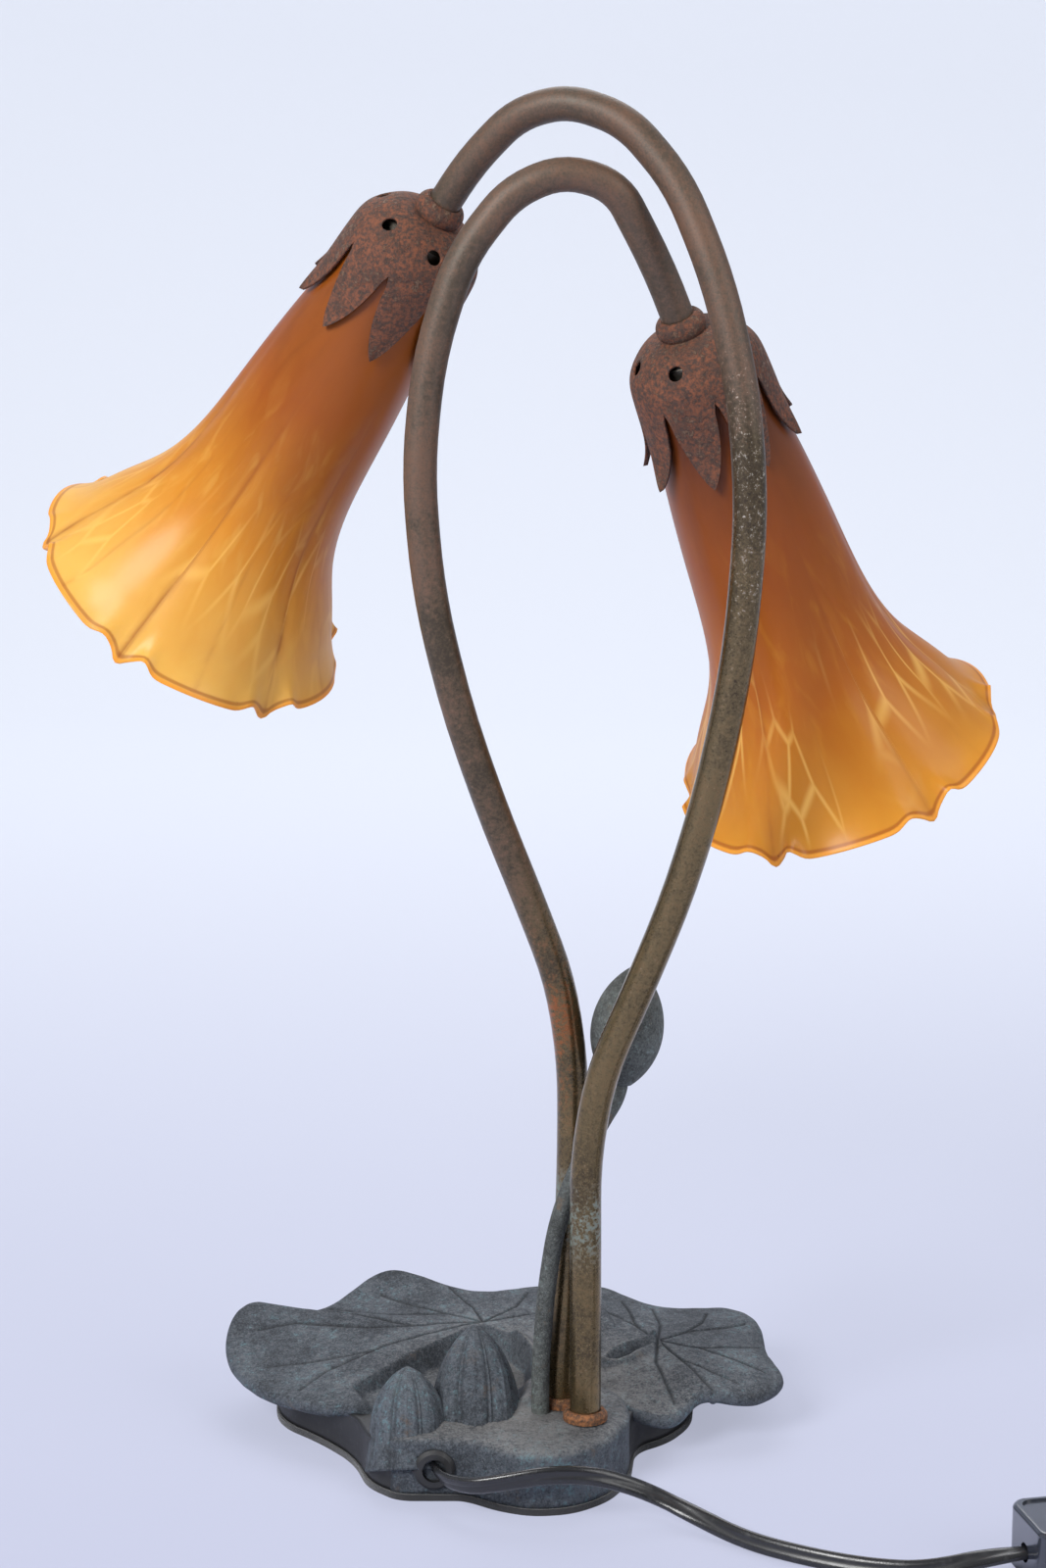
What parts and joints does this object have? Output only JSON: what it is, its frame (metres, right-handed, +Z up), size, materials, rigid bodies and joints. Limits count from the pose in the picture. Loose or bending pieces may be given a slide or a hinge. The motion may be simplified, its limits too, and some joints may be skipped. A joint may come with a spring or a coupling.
{
  "type": "tulip shade table lamp",
  "caption": "Table lamp with ruffled amber tulip shades hung from crossed bent tubes over a cast lily-pad foot with buds; in-line rocker switch and mains plug.",
  "frame": {"origin": "middle of the foot, on the table under the felt", "axes": "+Z up, +X to the right seen from the cord side, +Y away from the cord outlet, the way the shades lean"},
  "size_m": [0.4453, 0.2243, 0.4158],
  "materials": {
    "cast_foot": "zinc-alloy casting, dark blue-grey patina with teal specks and dust in the hollows",
    "felt": "black felt, glued on",
    "ballast_iron": "rough cast iron",
    "zinc_steel": "zinc-plated steel",
    "black_rubber": "satin black rubber",
    "black_plastic": "matt black plastic",
    "rusted_brass": "brass-plated steel, rusted orange-brown",
    "clear_nylon": "translucent nylon",
    "plated_tube": "aged brass plating with brown rust, pits and verdigris",
    "flex_sleeve": "clear sleeve on two cores",
    "bud_casting": "aged brass plating, worn bright on its ridge",
    "pressed_brass": "pressed sheet, red-brown aged plating with dark rust",
    "holder_metal": "plated steel",
    "holder_plastic": "black moulded thermoset",
    "contact_brass": "bright brass",
    "amber_glass": "satin amber glass, honey to orange towards the mouth",
    "bulb_glass": "clear glass",
    "cord_pvc": "black flat twin cord",
    "switch_case": "glossy blue-black plastic",
    "switch_key": "glossy black plastic",
    "plug_moulding": "moulded black plastic",
    "pin_nickel": "nickel-plated brass"
  },
  "bodies": {
    "lamp": {"foot_casting": "cast_foot", "foot_felt": "felt", "foot_ballast_plate": "ballast_iron", "ballast_screws": "zinc_steel", "cord_grommet": "black_rubber", "cord_clamp": "black_plastic", "tube_lock_nuts": "zinc_steel", "tube_foot_washers": "rusted_brass", "wire_crimps": "clear_nylon", "upper_tube": "plated_tube", "lower_tube": "plated_tube", "upper_flex": "flex_sleeve", "lower_flex": "flex_sleeve", "bud_stem": "plated_tube", "free_bud": "bud_casting", "upper_calyx": "pressed_brass", "upper_collar": "rusted_brass", "upper_holder_cap": "holder_metal", "upper_holder_body": "holder_plastic", "upper_holder_shell": "contact_brass", "upper_shade": "amber_glass", "lower_calyx": "pressed_brass", "lower_collar": "rusted_brass", "lower_holder_cap": "holder_metal", "lower_holder_body": "holder_plastic", "lower_holder_shell": "contact_brass", "lower_shade": "amber_glass", "cord_lead": "cord_pvc", "cord_middle": "cord_pvc", "cord_coil": "cord_pvc", "cord_tail": "cord_pvc", "switch_bottom_cover": "switch_case", "switch_top_cover": "switch_case", "switch_pivot_pin": "zinc_steel", "switch_terminals": "contact_brass", "switch_screws": "zinc_steel", "plug_body": "plug_moulding", "plug_boot": "plug_moulding", "plug_pins": "pin_nickel"},
    "upper_ring": {"upper_shade_ring": "holder_plastic"},
    "lower_ring": {"lower_shade_ring": "holder_plastic"},
    "upper_bulb": {"upper_bulb_cap": "pin_nickel", "upper_bulb_glass": "bulb_glass"},
    "lower_bulb": {"lower_bulb_cap": "pin_nickel", "lower_bulb_glass": "bulb_glass"},
    "rocker": {"switch_rocker": "switch_key"}
  },
  "joints": [
    {"name": "upper_ring_turn", "type": "hinge", "parent": "lamp", "child": "upper_ring", "pos_m": [-0.02973, -0.0242, 0.36412], "axis": [-0.5151, 0.4, -0.7581], "continuous": true},
    {"name": "lower_ring_turn", "type": "hinge", "parent": "lamp", "child": "lower_ring", "pos_m": [0.05939, -0.03864, 0.32952], "axis": [0.3451, 0.3801, -0.8582], "continuous": true},
    {"name": "upper_bulb_turn", "type": "hinge", "parent": "lamp", "child": "upper_bulb", "pos_m": [-0.03385, -0.021, 0.35806], "axis": [-0.5151, 0.4, -0.7581], "continuous": true},
    {"name": "lower_bulb_turn", "type": "hinge", "parent": "lamp", "child": "lower_bulb", "pos_m": [0.06215, -0.0356, 0.32266], "axis": [0.3451, 0.3801, -0.8582], "continuous": true},
    {"name": "rocker_tilt", "type": "hinge", "parent": "lamp", "child": "rocker", "pos_m": [0.18, -0.0979, 0.0132], "axis": [0.2079, -0.9781, 0], "range_deg": [0, 18]}
  ]
}
